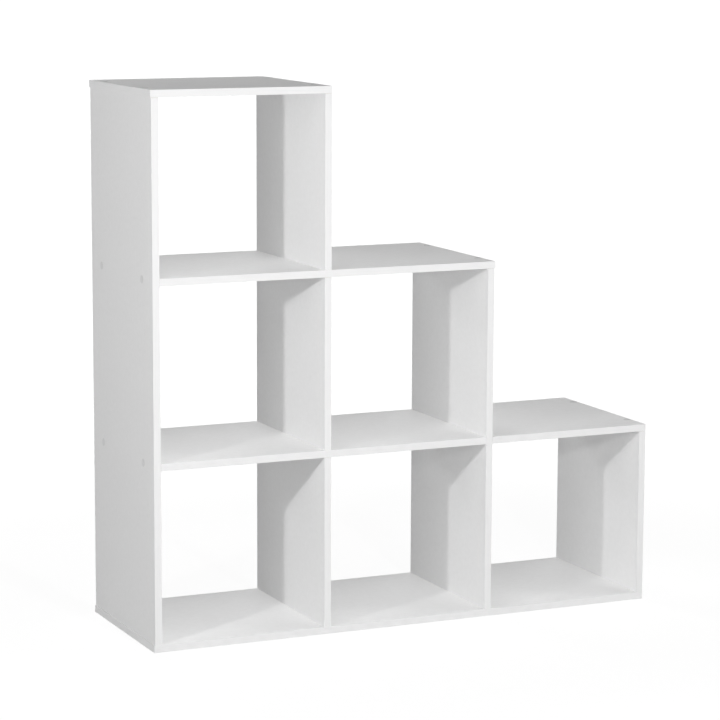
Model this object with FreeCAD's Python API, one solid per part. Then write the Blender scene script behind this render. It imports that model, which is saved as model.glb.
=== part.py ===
import FreeCAD, Part
import os

# Staircase bookshelf of melamine-faced chipboard: six square bays, three wide at the bottom, two in the
# middle and one at the top, open at the front and at the back.  Eleven boards butt against each other.
# Countersunk screws hold the joints that can be reached from outside, and dowels that pass right through
# a board locate the three crossings inside.  All of them lie in two rows, one near each open side.
#
# Sizes are in millimetres.  X runs to the right, Y from the front edges to the back edges, Z up.
# The origin lies on the floor, below the middle of the shelf's width and depth.

Vector = FreeCAD.Vector

# ---------------------------------------------------------------- driving dimensions

board_thickness = 12.0
shelf_depth = 290.0           # front to back, edge bands included
bay_width = 283.5             # clear, between two uprights
bay_height = 284.0            # clear, between two levels
side_setback = 1.5            # left side panel stands in from the ends of the boards below and above it
step_nose = 1.5               # second step runs on past the tall divider that carries it

band_thickness = 0.5          # edge band glued to each open edge of a board
band_bevel = 0.3              # trimmed outer corners of a band

row_inset = 49.0              # front or back of the shelf to the nearer row of screws and dowels
hole_clearance = 0.1          # on the radius of a drilled hole

screw_length = 40.0
screw_diameter = 3.5
screw_head_diameter = 7.0     # flat head over a 90 degree cone
screw_head_sink = 0.2         # head below the face of its board
screw_side_count = 10         # few, because a screw lies hidden

dowel_length = 40.0
dowel_diameter = 6.0
dowel_groove_count = 12
dowel_groove_depth = 0.35
dowel_end_gap = 0.5           # free depth past each end of a dowel

cover_diameter = 13.0         # self-adhesive disc over a screw head
cover_thickness = 0.4
cover_end_margin = 2.0        # a disc keeps this far back from the end of its board

# ---------------------------------------------------------------- layout

UP = Vector(0, 0, 1)
DOWN = Vector(0, 0, -1)
LEFT = Vector(-1, 0, 0)
RIGHT = Vector(1, 0, 0)
FRONT = Vector(0, -1, 0)
BACK = Vector(0, 1, 0)

shelf_width = side_setback + 4 * board_thickness + 3 * bay_width
left_end = -shelf_width / 2
right_end = shelf_width / 2
row_places = (row_inset - shelf_depth / 2, shelf_depth / 2 - row_inset)


def upright_left(number):
    """Left face of an upright, counted from 0 at the left side panel."""
    return left_end + side_setback + number * (board_thickness + bay_width)


def upright_right(number):
    return upright_left(number) + board_thickness


def level_bottom(number):
    """Underside of a level, counted from 0 at the bottom board."""
    return number * (board_thickness + bay_height)


def level_top(number):
    return level_bottom(number) + board_thickness


# ---------------------------------------------------------------- shapes

def laid(shape, point, along, outward):
    """Copy of a shape with its X turned to along, its Y to outward, and its origin moved to point."""
    copy = shape.copy()
    turn = FreeCAD.Rotation(along, outward, along.cross(outward), "XYZ")
    copy.Placement = FreeCAD.Placement(point, turn)
    return copy


def headed(shape, point, outward):
    """Copy of a shape with its Z turned to outward and its origin moved to point."""
    copy = shape.copy()
    copy.Placement = FreeCAD.Placement(point, FreeCAD.Rotation(UP, outward))
    return copy


def flat_face(corners):
    return Part.Face(Part.makePolygon(corners + corners[:1]))


def ring(radii, height):
    """Corners of a polygon round Z, evenly spaced at these radii."""
    corners = []
    for number, radius in enumerate(radii):
        turn = FreeCAD.Rotation(UP, 360 * number / len(radii))
        corners.append(turn.multVec(Vector(radius, 0, height)))
    return corners


def stacked(rings):
    """Solid with flat sides between each ring and the next, closed by the first and the last."""
    faces = [flat_face(rings[0]), flat_face(rings[-1])]
    for above, below in zip(rings, rings[1:]):
        for number in range(len(above)):
            faces.append(flat_face([above[number - 1], above[number], below[number], below[number - 1]]))
    shell = Part.Shell(faces)
    shell.sewShape()
    return Part.Solid(shell)


def band(length):
    """Edge band as wide as a board is thick, with the middle of its outer face at the origin."""
    half = board_thickness / 2
    deepest_bevel = 0.9 * band_thickness
    bevel = min(band_bevel, deepest_bevel)
    corners = [
        (-band_thickness, -half),
        (-bevel, -half),
        (0, bevel - half),
        (0, half - bevel),
        (-bevel, half),
        (-band_thickness, half),
    ]
    return flat_face([Vector(-length / 2, y, z) for y, z in corners]).extrude(RIGHT * length)


def screw():
    """Countersunk screw along Z, with the flat of its head at the origin and its tip below."""
    head = screw_head_diameter / 2
    body = screw_diameter / 2
    return stacked([
        ring([head] * screw_side_count, 0),
        ring([body] * screw_side_count, body - head),
        ring([body] * screw_side_count, -screw_length),
    ])


def screw_hole():
    """Hole down Z through a board, with a countersink that takes the head in below the board's face."""
    body = screw_diameter / 2 + hole_clearance
    mouth = screw_head_diameter / 2 + screw_head_sink + hole_clearance
    sunk = mouth - body
    countersink = Part.makeCone(body, mouth, sunk, DOWN * sunk)
    return Part.makeCylinder(body, board_thickness, DOWN * board_thickness).fuse(countersink)


def dowel():
    """Grooved dowel along Z, centred on the origin."""
    crest = dowel_diameter / 2
    radii = [crest, crest - dowel_groove_depth] * dowel_groove_count
    return flat_face(ring(radii, -dowel_length / 2)).extrude(UP * dowel_length)


def dowel_hole():
    reach = dowel_length / 2 + dowel_end_gap
    return Part.makeCylinder(dowel_diameter / 2 + hole_clearance, 2 * reach, DOWN * reach)


def cover_disc():
    return Part.makeCylinder(cover_diameter / 2, cover_thickness)


# ---------------------------------------------------------------- boards

class Board:
    """A board of the shelf's full depth, with bands on its front and back edges and on its open ends."""

    def __init__(self, x_range, z_range, lengthwise, open_ends=()):
        self.low = Vector(x_range[0], -shelf_depth / 2, z_range[0])
        self.high = Vector(x_range[1], shelf_depth / 2, z_range[1])
        self.middle = (self.low + self.high) / 2
        self.lengthwise = lengthwise
        self.open_ends = open_ends
        self.holes = []

    def side(self, outward):
        """Middle of the side of the board that faces outward."""
        reach = abs((self.high - self.low).dot(outward)) / 2
        return self.middle + outward * reach

    def core(self):
        """The board itself, which stops at the backs of its bands, with its holes."""
        low = Vector(self.low)
        high = Vector(self.high)
        for outward in (FRONT, BACK) + self.open_ends:
            if outward in (FRONT, LEFT):
                low -= outward * band_thickness
            else:
                high -= outward * band_thickness
        size = high - low
        return Part.makeBox(size.x, size.y, size.z, low).cut(self.holes)

    def bands(self):
        """Front and back bands of the board's full length, and end bands between them."""
        long_band = band((self.high - self.low).dot(self.lengthwise))
        end_band = band(shelf_depth - 2 * band_thickness)
        bands = [laid(end_band, self.side(outward), BACK, outward) for outward in self.open_ends]
        for outward in (FRONT, BACK):
            bands.append(laid(long_band, self.side(outward), self.lengthwise, outward))
        return bands


def level_board(number, x_from, x_to, open_ends=()):
    return Board((x_from, x_to), (level_bottom(number), level_top(number)), RIGHT, open_ends)


def upright_board(number, level_below, level_above):
    x_range = (upright_left(number), upright_right(number))
    return Board(x_range, (level_top(level_below), level_bottom(level_above)), UP)


boards = {
    "bottom_board": level_board(0, left_end, right_end, (LEFT, RIGHT)),
    "lower_shelf": level_board(1, upright_right(0), upright_left(2)),
    "low_step_board": level_board(1, upright_right(2), right_end, (RIGHT,)),
    "upper_shelf": level_board(2, upright_right(0), upright_right(2) + step_nose, (RIGHT,)),
    "top_board": level_board(3, left_end, upright_right(1), (LEFT, RIGHT)),
    "left_side_panel": upright_board(0, 0, 3),
    "lower_divider": upright_board(1, 0, 1),
    "middle_divider": upright_board(1, 1, 2),
    "upper_divider": upright_board(1, 2, 3),
    "tall_divider": upright_board(2, 0, 2),
    "right_side_panel": upright_board(3, 0, 1),
}

# ---------------------------------------------------------------- joints

# The board that the screw heads are sunk in, the way they face, and the boards whose ends the screws bite
# into, with no clearance.
screwed_joints = [
    ("bottom_board", DOWN, ["left_side_panel", "lower_divider", "tall_divider", "right_side_panel"]),
    ("left_side_panel", LEFT, ["lower_shelf", "upper_shelf"]),
    ("low_step_board", UP, ["right_side_panel"]),
    ("upper_shelf", UP, ["tall_divider"]),
    ("top_board", UP, ["left_side_panel", "upper_divider"]),
]

# The board that the dowels pass through, the boards whose ends they enter, and the way that they point.
doweled_joints = {
    "lower_crossing": ("lower_shelf", ["lower_divider", "middle_divider"], UP),
    "upper_crossing": ("upper_shelf", ["middle_divider", "upper_divider"], UP),
    "side_crossing": ("tall_divider", ["lower_shelf", "low_step_board"], RIGHT),
}


def joint_points(board, outward, joined):
    """The two points on a side of a board that lie in line with the end of a board that meets it."""
    place = board.side(outward)
    if outward in (UP, DOWN):
        place.x = joined.middle.x
    else:
        place.z = joined.middle.z
    return [place + BACK * row for row in row_places]


def covered_point(point, board):
    """Place of the disc over a screw head: the head's own, unless that is too near the board's end."""
    keep_back = cover_diameter / 2 + cover_end_margin
    nearest = board.low.dot(board.lengthwise) + keep_back
    farthest = board.high.dot(board.lengthwise) - keep_back
    here = point.dot(board.lengthwise)
    return point + board.lengthwise * (min(max(here, nearest), farthest) - here)


nodes = {}

for name, outward, joined_names in screwed_joints:
    board = boards[name]
    screws = []
    covers = []
    for joined in [boards[joined_name] for joined_name in joined_names]:
        for point in joint_points(board, outward, joined):
            driven_screw = headed(screw(), point - outward * screw_head_sink, outward)
            board.holes.append(headed(screw_hole(), point, outward))
            joined.holes.append(driven_screw)
            screws.append(driven_screw)
            covers.append(headed(cover_disc(), covered_point(point, board), outward))
    nodes["screws_" + name] = Part.makeCompound(screws)
    if outward != DOWN:
        nodes["cover_discs_" + name] = Part.makeCompound(covers)

for name, (pierced_name, joined_names, direction) in doweled_joints.items():
    pierced = boards[pierced_name]
    joined = [boards[joined_name] for joined_name in joined_names]
    dowels = []
    for point in joint_points(pierced, direction, joined[0]):
        middle = point - direction * (board_thickness / 2)
        dowels.append(headed(dowel(), middle, direction))
        for board in [pierced] + joined:
            board.holes.append(headed(dowel_hole(), middle, direction))
    nodes["dowels_" + name] = Part.makeCompound(dowels)

for name, board in boards.items():
    nodes[name] = board.core()
    nodes["edge_bands_" + name] = Part.makeCompound(board.bands())

# ---------------------------------------------------------------- output

os.makedirs("parts", exist_ok=True)
for name, shape in nodes.items():
    shape.exportStep("parts/" + name + ".step")
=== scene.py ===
import math

import bpy
import numpy as np
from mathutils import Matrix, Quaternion, Vector


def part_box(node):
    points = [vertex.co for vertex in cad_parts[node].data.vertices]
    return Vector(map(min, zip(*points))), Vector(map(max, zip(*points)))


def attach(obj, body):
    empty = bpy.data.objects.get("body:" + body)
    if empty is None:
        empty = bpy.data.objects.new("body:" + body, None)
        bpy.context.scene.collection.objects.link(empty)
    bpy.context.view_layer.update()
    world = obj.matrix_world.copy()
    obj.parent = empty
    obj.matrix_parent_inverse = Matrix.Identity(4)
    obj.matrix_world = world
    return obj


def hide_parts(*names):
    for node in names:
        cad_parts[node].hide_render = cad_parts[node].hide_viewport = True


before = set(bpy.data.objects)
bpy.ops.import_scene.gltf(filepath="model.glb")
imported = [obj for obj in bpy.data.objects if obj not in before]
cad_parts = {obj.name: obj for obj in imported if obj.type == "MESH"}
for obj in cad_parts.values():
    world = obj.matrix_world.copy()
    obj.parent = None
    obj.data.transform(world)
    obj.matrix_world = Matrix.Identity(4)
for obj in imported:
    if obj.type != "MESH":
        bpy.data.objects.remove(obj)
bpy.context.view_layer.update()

# A staircase bookshelf of white boards: six square bays, three wide at the bottom, two in the middle and one
# at the top, open at the front and at the back. X runs to the right, Y from the front to the back and Z up.
# Lengths are in metres.

# ---------------------------------------------------------------- boards
# Eleven boards of 12 mm chipboard, pressed from wood chips and faced on both sides with white melamine paper,
# then sawn to size and drilled. They butt against each other, so their sawn ends lie hidden in the joints.

MM = 0.001
FLAT_BOARDS = ["bottom_board", "lower_shelf", "low_step_board", "upper_shelf", "top_board"]
UPRIGHT_BOARDS = [
    "left_side_panel", "lower_divider", "middle_divider", "upper_divider", "tall_divider", "right_side_panel"
]
BOARD_WHITES = ("#F1F1F1", "#F4F4F4")


def linear(hex_colour):
    """Linear RGBA of an sRGB hex colour. Each channel c becomes ((c + 0.055) / 1.055) to the power 2.4, or
    c / 12.92 where it is very dark."""
    channels = np.array([int(hex_colour[i:i + 2], 16) for i in (1, 3, 5)]) / 255
    light = np.where(channels > 0.04045, ((channels + 0.055) / 1.055) ** 2.4, channels / 12.92)
    return (*light.tolist(), 1.0)


def empty_material(name):
    material = bpy.data.materials.new(name)
    material.use_nodes = True
    material.node_tree.nodes.clear()
    return material


def node(tree, kind, values=None, links=None, **settings):
    """Adds a shader node. Values go to its open inputs, links feed an input from (node, output), and settings
    are its own properties."""
    added = tree.nodes.new("ShaderNode" + kind)
    for name, value in settings.items():
        setattr(added, name, value)
    for name, value in (values or {}).items():
        added.inputs[name].default_value = value
    for name, (source, output) in (links or {}).items():
        tree.links.new(source.outputs[output], added.inputs[name])
    return added


def two_colours(ramp, first, second, start=0.3, end=0.7):
    """Sets a colour ramp to run from one sRGB hex colour to another between two positions. Nearly all of a
    noise lies between 0.3 and 0.7."""
    for element, colour, position in zip(ramp.color_ramp.elements, (first, second), (start, end)):
        element.color = linear(colour)
        element.position = position


def faced_chipboard(name, thickness_axis):
    """White melamine paper, hot-pressed against a pearl-textured plate, on chipboard. The eye gets an even
    neutral white with a satin sheen, faintly clouded. Only faces that look along the board's thickness carry
    the melamine: sawn ends and drilled holes show the brown chips."""
    cloud_size = 8 * MM
    pearl_size = 3 * MM       # the real grains are about 1 mm, drawn coarser so that they show
    pearl_depth = 0.02 * MM
    chip_size = 2.5 * MM
    chip_depth = 0.2 * MM
    square_enough = 0.9       # share of a face's direction that lies along the board's thickness
    material = empty_material(name)
    tree = material.node_tree
    place = node(tree, "TexCoord")
    on_board = {"Vector": (place, "Object")}
    clouds = node(tree, "TexNoise", {"Scale": 1 / cloud_size, "Detail": 3}, on_board)
    whites = node(tree, "ValToRGB", links={"Fac": (clouds, "Fac")})
    two_colours(whites, *BOARD_WHITES)
    pearl = node(tree, "TexNoise", {"Scale": 1 / pearl_size, "Detail": 1}, on_board)
    grains = node(tree, "Bump", {"Strength": 0.5, "Distance": pearl_depth}, {"Height": (pearl, "Fac")})
    melamine = node(
        tree,
        "BsdfPrincipled",
        {"Roughness": 0.6, "IOR": 1.5, "Specular IOR Level": 0.14},
        {"Base Color": (whites, "Color"), "Normal": (grains, "Normal")},
    )
    chips = node(tree, "TexVoronoi", {"Scale": 1 / chip_size}, on_board)
    browns = node(tree, "ValToRGB", links={"Fac": (chips, "Color")})
    two_colours(browns, "#93836C", "#CABBA2", 0, 1)
    rough_cut = node(tree, "Bump", {"Distance": chip_depth}, {"Height": (chips, "Distance")})
    chipboard = node(
        tree,
        "BsdfPrincipled",
        {"Roughness": 0.9, "IOR": 1.45},
        {"Base Color": (browns, "Color"), "Normal": (rough_cut, "Normal")},
    )
    facing = node(tree, "SeparateXYZ", links={"Vector": (place, "Normal")})
    squareness = node(tree, "Math", links={0: (facing, thickness_axis)}, operation="ABSOLUTE")
    faced = node(tree, "Math", {1: square_enough}, {0: (squareness, "Value")}, operation="GREATER_THAN")
    surface = node(
        tree, "MixShader", links={0: (faced, "Value"), 1: (chipboard, "BSDF"), 2: (melamine, "BSDF")}
    )
    node(tree, "OutputMaterial", links={"Surface": (surface, "Shader")})
    return material


for names, thickness_axis in ((FLAT_BOARDS, "Z"), (UPRIGHT_BOARDS, "X")):
    board_material = faced_chipboard(f"white_melamine_chipboard_{thickness_axis}", thickness_axis)
    for name in names:
        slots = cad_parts[name].data.materials
        slots.clear()
        slots.append(board_material)

# ---------------------------------------------------------------- edge bands
# White ABS strip, 0.5 mm thick, glued with hot-melt along every open edge of a board and trimmed flush, with
# its two outer corners rounded by the trimming cutter.

UP, BACK, RIGHT = np.array([0, 0, 1]), np.array([0, 1, 0]), np.array([1, 0, 0])
BAND_ROUNDING = 0.42 * MM
CUT_SHORT = 0.15 * MM         # hairline gap where the end of a strip meets another board


def cad_corners(cad_node):
    """Lowest and highest corner of a CAD node's box."""
    low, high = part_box(cad_node)
    return np.array(low), np.array(high)


def skin(rings, origin, lengthwise, outward):
    """Closed skin over rings of points that run counterclockwise round the piece's own Z, shape (ring, point,
    XYZ). Quads join each ring to the next and triangles close the two end rings at their centres. It is
    placed as origin + x outward + y (lengthwise cross outward) + z lengthwise. Returns the points in the
    piece's own axes, the same points in the shelf, and the faces."""
    count = rings.shape[1]
    own = np.concatenate([rings.reshape(-1, 3), rings[[0, -1]].mean(axis=1)])
    here = np.arange(len(rings) * count).reshape(-1, count)
    beside = np.roll(here, -1, axis=1)
    quads = np.stack([here[:-1], beside[:-1], beside[1:], here[1:]], axis=-1).reshape(-1, 4)
    first_centre, last_centre = np.full((2, count), [[len(own) - 2], [len(own) - 1]])
    first_fan = np.stack([beside[0], here[0], first_centre], axis=-1)
    last_fan = np.stack([here[-1], beside[-1], last_centre], axis=-1)
    axes = np.stack([outward, np.cross(lengthwise, outward), lengthwise])
    return own, origin + own @ axes, quads.tolist() + first_fan.tolist() + last_fan.tolist()


def finished_piece(name, skins, material, replaced, smooth_below=0.0):
    """One mesh of several skins, standing for a CAD node. Faces that meet at less than the angle
    smooth_below, in degrees, are shaded as one curve. Its attribute own_place holds each point in its skin's
    own axes."""
    own = np.concatenate([skin_own for skin_own, _, _ in skins])
    points = np.concatenate([skin_points for _, skin_points, _ in skins])
    starts = np.cumsum([0] + [len(skin_own) for skin_own, _, _ in skins]).tolist()
    faces = [
        [corner + start for corner in face] for (_, _, skin_faces), start in zip(skins, starts)
        for face in skin_faces
    ]
    mesh = bpy.data.meshes.new(name)
    mesh.from_pydata(points, [], faces)
    mesh.attributes.new("own_place", "FLOAT_VECTOR", "POINT").data.foreach_set("vector", own.ravel())
    if smooth_below:
        mesh.shade_smooth()
        mesh.set_sharp_from_angle(angle=math.radians(smooth_below))
    mesh.materials.append(material)
    piece = bpy.data.objects.new(name, mesh)
    bpy.context.scene.collection.objects.link(piece)
    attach(piece, "root")
    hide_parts(replaced)


def band(low, high, lengthwise, outward):
    """Band that fills the box from low to high. Its profile is a rectangle whose two outer corners are
    quarter circles, corner centre + radius (cos angle, sin angle), and it is carried straight from end to
    end."""
    across = np.cross(lengthwise, outward)
    length, thickness, width = (abs((high - low) @ axis) for axis in (lengthwise, outward, across))
    arc_points = 6
    angle = np.linspace(0, math.pi / 2, arc_points)
    arc = BAND_ROUNDING * np.stack([np.cos(angle), np.sin(angle)], axis=-1)
    upper = (-BAND_ROUNDING, width / 2 - BAND_ROUNDING) + arc
    lower = (upper * (1, -1))[::-1]
    profile = np.concatenate([[(-thickness, -width / 2)], lower, upper, [(-thickness, width / 2)]])
    rings = np.array([np.insert(profile, 2, z, axis=1) for z in (-length / 2, length / 2)])
    return skin(rings, (low + high) / 2 + outward * thickness / 2, lengthwise, outward)


def embossed_abs():
    """Extruded white ABS, finely embossed to match the melamine in colour and sheen. Its die leaves faint
    streaks along the strip, so that the edges look a little smoother than the boards' faces."""
    streak_width, streak_length = 1.2 * MM, 60 * MM
    emboss_size = 2 * MM      # really about 0.5 mm, drawn coarser so that it shows
    emboss_depth = 0.012 * MM
    material = empty_material("white_embossed_abs_edge_band")
    tree = material.node_tree
    place = node(tree, "Attribute", attribute_name="own_place")
    on_strip = {"Vector": (place, "Vector")}
    scale = (1 / streak_width, 1 / streak_width, 1 / streak_length)
    stretched = node(tree, "Mapping", {"Scale": scale}, on_strip)
    streaks = node(tree, "TexNoise", {"Scale": 1, "Detail": 2}, {"Vector": (stretched, "Vector")})
    whites = node(tree, "ValToRGB", links={"Fac": (streaks, "Fac")})
    two_colours(whites, *BOARD_WHITES)
    emboss = node(tree, "TexNoise", {"Scale": 1 / emboss_size, "Detail": 1}, on_strip)
    grains = node(tree, "Bump", {"Strength": 0.5, "Distance": emboss_depth}, {"Height": (emboss, "Fac")})
    plastic = node(
        tree,
        "BsdfPrincipled",
        {"Roughness": 0.6, "IOR": 1.52, "Specular IOR Level": 0.13},
        {"Base Color": (whites, "Color"), "Normal": (grains, "Normal")},
    )
    node(tree, "OutputMaterial", links={"Surface": (plastic, "BSDF")})
    return material


band_plastic = embossed_abs()
for name in FLAT_BOARDS + UPRIGHT_BOARDS:
    is_flat = name in FLAT_BOARDS
    lengthwise = RIGHT if is_flat else UP
    core_low, core_high = cad_corners(name)
    low, high = cad_corners("edge_bands_" + name)
    # an end that has no band of its own meets another board
    low += CUT_SHORT * lengthwise * np.isclose(low, core_low)
    high -= CUT_SHORT * lengthwise * np.isclose(high, core_high)
    bands = [
        band(low, np.where(BACK, core_low, high), lengthwise, -BACK),
        band(np.where(BACK, core_high, low), high, lengthwise, BACK),
    ]
    if is_flat and low[0] < core_low[0]:
        left_low, left_high = np.where(RIGHT, low, core_low), np.where(RIGHT, core_low, core_high)
        bands.append(band(left_low, left_high, BACK, -RIGHT))
    if is_flat and high[0] > core_high[0]:
        right_low, right_high = np.where(RIGHT, core_high, core_low), np.where(RIGHT, high, core_high)
        bands.append(band(right_low, right_high, BACK, RIGHT))
    finished_piece("trimmed_edge_bands_" + name, bands, band_plastic, "edge_bands_" + name)

# ---------------------------------------------------------------- dowels
# Beech dowels, 6 mm thick and 40 mm long, turned with straight grooves that let the glue out and chamfered at
# both ends. Two pass through the board at each crossing that no screw can reach.

DOWEL_RADIUS, DOWEL_LENGTH, DOWEL_CHAMFER = 3 * MM, 40 * MM, 0.8 * MM
GROOVES, GROOVE_DEPTH = 12, 0.35 * MM
POINTS_PER_GROOVE = 6


def round_rings(radius, height, angle):
    """Rings of points (radius cos angle, radius sin angle, height). Radius and height have a row for each
    ring, and one column or a column for each angle."""
    x, y = radius * np.cos(angle), radius * np.sin(angle)
    return np.stack([x, y, np.broadcast_to(height, x.shape)], axis=-1)


def dowel(middle, lengthwise):
    """Radius = the crest's, less the groove's depth times a half cosine of the angle in each groove, and less
    what the chamfer takes within its own width of an end."""
    angle = np.linspace(0, 2 * math.pi, POINTS_PER_GROOVE * GROOVES, endpoint=False)
    half = DOWEL_LENGTH / 2
    height = np.array([-half, DOWEL_CHAMFER - half, 0, half - DOWEL_CHAMFER, half])[:, None]
    near_end = np.clip(1 - (half - abs(height)) / DOWEL_CHAMFER, 0, 1)
    groove = 0.5 - 0.5 * np.cos(GROOVES * angle)
    radius = DOWEL_RADIUS - GROOVE_DEPTH * groove - DOWEL_CHAMFER * near_end
    return skin(round_rings(radius, height, angle), middle, lengthwise, BACK)


def turned_beech():
    """Steamed beech, turned and left bare: pale pinkish tan, with darker fibres along the dowel."""
    fibre_width, fibre_length = 0.6 * MM, 12 * MM
    fibre_depth = 0.05 * MM
    material = empty_material("bare_steamed_beech")
    tree = material.node_tree
    place = node(tree, "Attribute", attribute_name="own_place")
    scale = (1 / fibre_width, 1 / fibre_width, 1 / fibre_length)
    stretched = node(tree, "Mapping", {"Scale": scale}, {"Vector": (place, "Vector")})
    fibres = node(tree, "TexNoise", {"Scale": 1, "Detail": 4}, {"Vector": (stretched, "Vector")})
    tans = node(tree, "ValToRGB", links={"Fac": (fibres, "Fac")})
    two_colours(tans, "#B98A62", "#E2C19B")
    relief = node(tree, "Bump", {"Distance": fibre_depth}, {"Height": (fibres, "Fac")})
    wood = node(
        tree,
        "BsdfPrincipled",
        {"Roughness": 0.65, "IOR": 1.5},
        {"Base Color": (tans, "Color"), "Normal": (relief, "Normal")},
    )
    node(tree, "OutputMaterial", links={"Surface": (wood, "BSDF")})
    return material


beech = turned_beech()
for crossing, lengthwise in (("lower_crossing", UP), ("upper_crossing", UP), ("side_crossing", RIGHT)):
    low, high = cad_corners("dowels_" + crossing)
    reach = (high - low)[1] / 2 - DOWEL_RADIUS
    dowels = [dowel((low + high) / 2 + BACK * y, lengthwise) for y in (-reach, reach)]
    finished_piece(
        "fluted_dowels_" + crossing, dowels, beech, "dowels_" + crossing, smooth_below=50
    )

# ---------------------------------------------------------------- screws
# Zinc-plated countersunk screws, 40 mm long, cold-formed and thread-rolled, with a cross recess in the head.
# They pull each board onto the end of the one it meets, two to a joint.

HEAD_RADIUS, HEAD_RIM = 3.5 * MM, 0.3 * MM
CREST_RADIUS, CORE_RADIUS, THREAD_PITCH = 1.75 * MM, 1.3 * MM, 1.8 * MM
SCREW_LENGTH, POINT_LENGTH = 40 * MM, 6 * MM
PLAIN_NECK = 0.7 * MM         # from the end of the head's cone to the first ring of the thread
RECESS_REACH, RECESS_HALF_WIDTH, RECESS_DEPTH = 2.1 * MM, 0.45 * MM, 1.4 * MM
BLUNT_TIP = 0.02              # share of the shank's radius that is left at the tip
RIDGE_REACH = 0.25            # from a thread's crest down to the core, in pitches


def screw(head_middle, outward):
    """Screw along its own Z with the flat of its head at 0. Down the shank, radius = the core's plus the
    thread's ridge, which is a peak once in each pitch and turns with the angle, depth / pitch - angle / full
    turn. On the flat, height = - recess depth within the arms of a cross, sloping in over the outer half of
    each arm."""
    points_round, flat_rings, rings_per_pitch, point_rings = 48, 14, 6, 18
    inner_share = 0.1         # the innermost ring on the flat, as a share of the head's radius
    angle = np.linspace(0, 2 * math.pi, points_round, endpoint=False)
    out = HEAD_RADIUS * np.linspace(inner_share, 1, flat_rings)[:, None]
    x, y = abs(out * np.cos(angle)), abs(out * np.sin(angle))
    along_arm, across_arm = np.maximum(x, y), np.minimum(x, y)
    slope = np.clip((RECESS_REACH - along_arm) / (RECESS_REACH / 2), 0, 1)
    flat = round_rings(out, -RECESS_DEPTH * slope * (across_arm < RECESS_HALF_WIDTH), angle)
    cone_end = HEAD_RIM + HEAD_RADIUS - CREST_RADIUS
    point_start = SCREW_LENGTH - POINT_LENGTH
    thread = np.arange(cone_end + PLAIN_NECK, point_start, THREAD_PITCH / rings_per_pitch)
    point = np.linspace(point_start, SCREW_LENGTH, point_rings)
    depth = np.concatenate([[HEAD_RIM, cone_end], thread, point])[:, None]
    taper = np.clip((SCREW_LENGTH - depth) / POINT_LENGTH, BLUNT_TIP, 1)
    turn = depth / THREAD_PITCH - angle / (2 * math.pi)
    ridge = np.clip(1 - abs(turn - np.round(turn)) / RIDGE_REACH, 0, 1)
    radius = taper * (CORE_RADIUS + (CREST_RADIUS - CORE_RADIUS) * ridge)
    radius[:2] = [[HEAD_RADIUS], [CREST_RADIUS]]
    rings = np.concatenate([flat, round_rings(radius, -depth, angle)])[::-1]
    return skin(rings, head_middle, outward, BACK)


def zinc_plate():
    """Bright zinc electroplate on steel: pale bluish metal, a little clouded."""
    cloud_size = 2 * MM
    material = empty_material("bright_zinc_plated_steel")
    tree = material.node_tree
    place = node(tree, "Attribute", attribute_name="own_place")
    clouds = node(tree, "TexNoise", {"Scale": 1 / cloud_size, "Detail": 3}, {"Vector": (place, "Vector")})
    greys = node(tree, "ValToRGB", links={"Fac": (clouds, "Fac")})
    two_colours(greys, "#BFC3C6", "#D6D9DA")
    gloss = node(tree, "MapRange", {"To Min": 0.25, "To Max": 0.4}, {"Value": (clouds, "Fac")})
    metal = node(
        tree,
        "BsdfPrincipled",
        {"Metallic": 1.0},
        {"Base Color": (greys, "Color"), "Roughness": (gloss, "Result")},
    )
    node(tree, "OutputMaterial", links={"Surface": (metal, "BSDF")})
    return material


zinc = zinc_plate()
for board, outward, joined_boards in (
    ("bottom_board", -UP, ["left_side_panel", "lower_divider", "tall_divider", "right_side_panel"]),
    ("left_side_panel", -RIGHT, ["lower_shelf", "upper_shelf"]),
    ("low_step_board", UP, ["right_side_panel"]),
    ("upper_shelf", UP, ["tall_divider"]),
    ("top_board", UP, ["left_side_panel", "upper_divider"]),
):
    low, high = cad_corners("screws_" + board)
    head_level = high if outward.sum() > 0 else low
    screws = []
    for joined in joined_boards:
        joined_low, joined_high = cad_corners(joined)
        place = np.where(outward == 0, (joined_low + joined_high) / 2, head_level)
        for y in (low[1] + HEAD_RADIUS, high[1] - HEAD_RADIUS):
            screws.append(screw(np.where(BACK, y, place), outward))
    finished_piece(
        "threaded_screws_" + board, screws, zinc, "screws_" + board, smooth_below=35
    )

# ---------------------------------------------------------------- cover discs
# Self-adhesive discs of thin white foil, 13 mm across, punched from a sheet and pressed over the screw heads
# on the faces that show. Their rims are slightly rounded by the punch.

DISC_RADIUS, DISC_THICKNESS, DISC_ROUNDING = 6.5 * MM, 0.4 * MM, 0.15 * MM


def cover_disc(middle, outward):
    """Short straight side, then a rim that is a quarter circle, rim centre + radius (sin angle, cos angle),
    and a flat round top with one more ring half way in."""
    points_round, rim_rings = 64, 5
    angle = np.linspace(0, 2 * math.pi, points_round, endpoint=False)
    lean = np.linspace(math.pi / 2, 0, rim_rings)
    rim_radius = DISC_RADIUS - DISC_ROUNDING + DISC_ROUNDING * np.sin(lean)
    rim_height = DISC_THICKNESS - DISC_ROUNDING + DISC_ROUNDING * np.cos(lean)
    radius = np.concatenate([[DISC_RADIUS], rim_radius, [DISC_RADIUS / 2]])[:, None]
    height = np.concatenate([[0], rim_height, [DISC_THICKNESS]])[:, None]
    return skin(round_rings(radius, height, angle), middle, outward, BACK)


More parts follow.
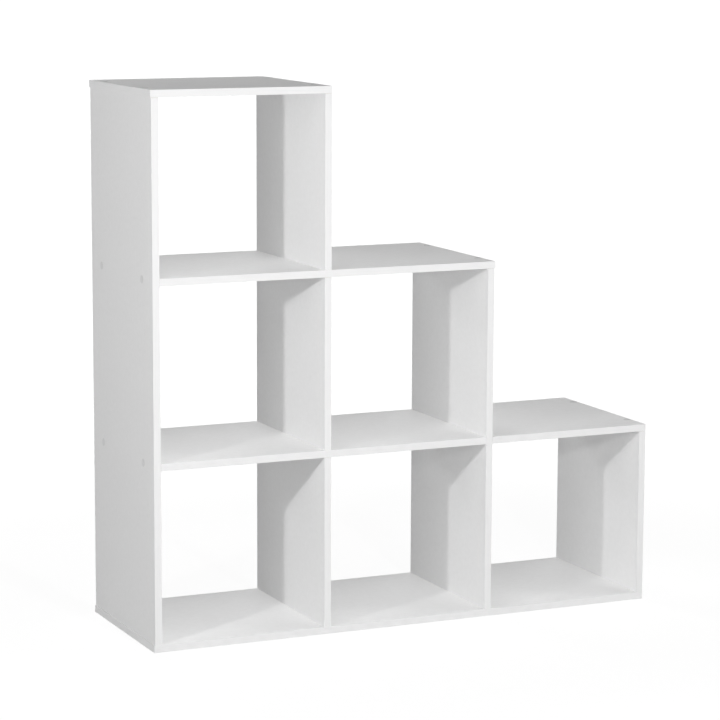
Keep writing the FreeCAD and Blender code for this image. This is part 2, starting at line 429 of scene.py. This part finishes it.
def matt_foil():
    """Thin PVC foil without any gloss and a little greyer than the melamine, so that each disc just shows."""
    grain_size = 1.5 * MM
    grain_depth = 0.02 * MM
    material = empty_material("matt_white_pvc_foil")
    tree = material.node_tree
    place = node(tree, "Attribute", attribute_name="own_place")
    grain = node(tree, "TexNoise", {"Scale": 1 / grain_size, "Detail": 2}, {"Vector": (place, "Vector")})
    greys = node(tree, "ValToRGB", links={"Fac": (grain, "Fac")})
    two_colours(greys, "#E6E6E6", "#EAEAEA")
    relief = node(tree, "Bump", {"Distance": grain_depth}, {"Height": (grain, "Fac")})
    foil = node(
        tree,
        "BsdfPrincipled",
        {"Roughness": 0.9, "IOR": 1.53, "Specular IOR Level": 0.0},
        {"Base Color": (greys, "Color"), "Normal": (relief, "Normal")},
    )
    node(tree, "OutputMaterial", links={"Surface": (foil, "BSDF")})
    return material


white_foil = matt_foil()
for board, outward in (
    ("left_side_panel", -RIGHT), ("low_step_board", UP), ("upper_shelf", UP), ("top_board", UP)
):
    low, high = cad_corners("cover_discs_" + board)
    low = np.where(outward == 0, low + DISC_RADIUS, low)
    high = np.where(outward == 0, high - DISC_RADIUS, high)
    seat = low if outward.sum() > 0 else high
    long_axis = 0 if outward[2] else 2
    discs = []
    # a board has a pair of discs at each end of their box, or one pair where rounding makes the ends the same
    for along in sorted({round(low[long_axis], 6), round(high[long_axis], 6)}):
        for y in (low[1], high[1]):
            place = seat.copy()
            place[long_axis] = along
            place[1] = y
            discs.append(cover_disc(place, outward))
    finished_piece(
        "stuck_cover_discs_" + board, discs, white_foil, "cover_discs_" + board, smooth_below=40
    )

# ---------------------------------------------------------------- studio
# Pale paper on the floor, and a white surround that stands behind whatever looks past the shelf. The paper
# keeps the shelf's shadow near it and fades into the white surround farther out.

PAPER_REACH = 60              # from the middle to each edge
FADE_START, FADE_END = 0.7, 2.2
SHADOW_SHARE = 0.18           # share of the lit paper in what the eye sees, before the fade
PAPER_GLOW = 1.1              # strength of the even white that makes up the rest
FILL_LIGHT = 0.02             # strength of the light that the surround sheds on things


def seen_directly(tree):
    """1 for what the camera sees, also in gloss or through glass, and 0 for light that falls on things."""
    rays = node(tree, "LightPath")
    seen = node(
        tree, "Math", links={0: (rays, "Is Camera Ray"), 1: (rays, "Is Glossy Ray")}, operation="MAXIMUM"
    )
    return node(
        tree, "Math", links={0: (seen, "Value"), 1: (rays, "Is Transmission Ray")}, operation="MAXIMUM"
    )


def studio_paper():
    """Pale matt paper that lights things as it is. To the eye it is mixed with an even white, which takes
    over completely where the fade ends."""
    material = empty_material("pale_studio_paper")
    tree = material.node_tree
    place = node(tree, "TexCoord")
    distance = node(tree, "VectorMath", links={0: (place, "Object")}, operation="LENGTH")
    fade = node(
        tree,
        "MapRange",
        {"From Min": FADE_START, "From Max": FADE_END, "To Min": 1 - SHADOW_SHARE, "To Max": 1.0},
        {"Value": (distance, "Value")},
        interpolation_type="SMOOTHSTEP",
    )
    matt = node(tree, "BsdfDiffuse", {"Color": linear("#E6E6E6")})
    white = node(tree, "Emission", {"Strength": PAPER_GLOW})
    shown = node(tree, "MixShader", links={0: (fade, "Result"), 1: (matt, "BSDF"), 2: (white, "Emission")})
    surface = node(
        tree, "MixShader", links={0: (seen_directly(tree), "Value"), 1: (matt, "BSDF"), 2: (shown, "Shader")}
    )
    node(tree, "OutputMaterial", links={"Surface": (surface, "Shader")})
    return material


floor_mesh = bpy.data.meshes.new("studio_floor")
floor_corners = PAPER_REACH * np.array([(-1, -1, 0), (1, -1, 0), (1, 1, 0), (-1, 1, 0)])
floor_mesh.from_pydata(floor_corners, [], [(0, 1, 2, 3)])
floor_mesh.materials.append(studio_paper())
floor = bpy.data.objects.new("studio_floor", floor_mesh)
bpy.context.scene.collection.objects.link(floor)

surround = bpy.data.worlds.new("white_surround")
surround.use_nodes = True
tree = surround.node_tree
tree.nodes.clear()
seen = seen_directly(tree)
level = node(tree, "MapRange", {"To Min": FILL_LIGHT, "To Max": 1.0}, {"Value": (seen, "Value")})
sky = node(tree, "Background", {"Color": (1, 1, 1, 1)}, {"Strength": (level, "Result")})
node(tree, "OutputWorld", links={"Surface": (sky, "Background")})
bpy.context.scene.world = surround

# ---------------------------------------------------------------- lamps
# Two small hard lamps stand on the left and in front, level with the top of the shelf, so that they only
# graze its top board and draw sharp shadows in the bays. Larger soft ones fill in from the front, the right
# and the back, and one from far out on the left. Sizes are in metres and powers in watts.

MIDDLE = Vector((0, 0, 0.45))


def lamp(name, shape, size, power, place, target):
    """Flat lamp at a place, turned to face a target."""
    light = bpy.data.lights.new(name, "AREA")
    light.shape = shape
    light.size = size
    light.energy = power
    lamp_object = bpy.data.objects.new(name, light)
    lamp_object.location = place
    lamp_object.rotation_mode = "QUATERNION"
    lamp_object.rotation_quaternion = (Vector(target) - Vector(place)).to_track_quat("-Z", "Y")
    bpy.context.scene.collection.objects.link(lamp_object)


def around_shelf(azimuth, elevation, distance):
    """Place at a distance from the shelf's middle. Azimuth turns from the front to the right and elevation
    rises from level, both in degrees."""
    turn, rise = math.radians(azimuth), math.radians(elevation)
    heading = Vector((math.sin(turn) * math.cos(rise), -math.cos(turn) * math.cos(rise), math.sin(rise)))
    return MIDDLE + distance * heading


lamp("hard_left", "DISK", 0.095, 11.6, (-1.876, -1.005, 0.922), (-1.169, -0.298, 0.972))
lamp("hard_front", "DISK", 0.12, 13, (-0.2, -2.0, 0.906), (0, 0, 0.5))
lamp("soft_front", "SQUARE", 2, 18.4, around_shelf(-45, 30, 3.5), MIDDLE)
lamp("soft_right", "SQUARE", 2, 42.9, around_shelf(75, 10, 3.5), MIDDLE)
lamp("soft_right_front", "SQUARE", 2, 29.4, around_shelf(60, 10, 3.5), MIDDLE)
lamp("high_back", "SQUARE", 0.6, 20.3, around_shelf(188, 25, 3), MIDDLE)
lamp("back_wall", "SQUARE", 3.6, 33.1, (0, 2.2, 1.1), (0, 0, 1.1))
lamp("far_left", "SQUARE", 1.5, 55, around_shelf(-80, 6, 12), MIDDLE)

# ---------------------------------------------------------------- camera
# A long lens, 4.6 m off, to the left of the front and a little higher than the shelf, so that it looks down
# on the steps. The angles are in degrees, and the lens and its sensor in millimetres.

CAMERA_PLACE = (-1.9133, -4.1440, 1.1593)
YAW, PITCH, ROLL = 24.5066, 9.1246, 0.2392
LENS, SENSOR_WIDTH = 136.56, 36

camera = bpy.data.objects.new("camera", bpy.data.cameras.new("camera"))
camera.data.sensor_width = SENSOR_WIDTH
camera.data.lens = LENS
camera.location = CAMERA_PLACE
camera.rotation_mode = "QUATERNION"
camera.rotation_quaternion = (
    Quaternion((0, 0, 1), math.radians(-YAW))
    @ Quaternion((1, 0, 0), math.radians(90 - PITCH))
    @ Quaternion((0, 0, 1), math.radians(ROLL))
)
bpy.context.scene.collection.objects.link(camera)
bpy.context.scene.camera = camera
bpy.context.scene.view_settings.view_transform = "Standard"
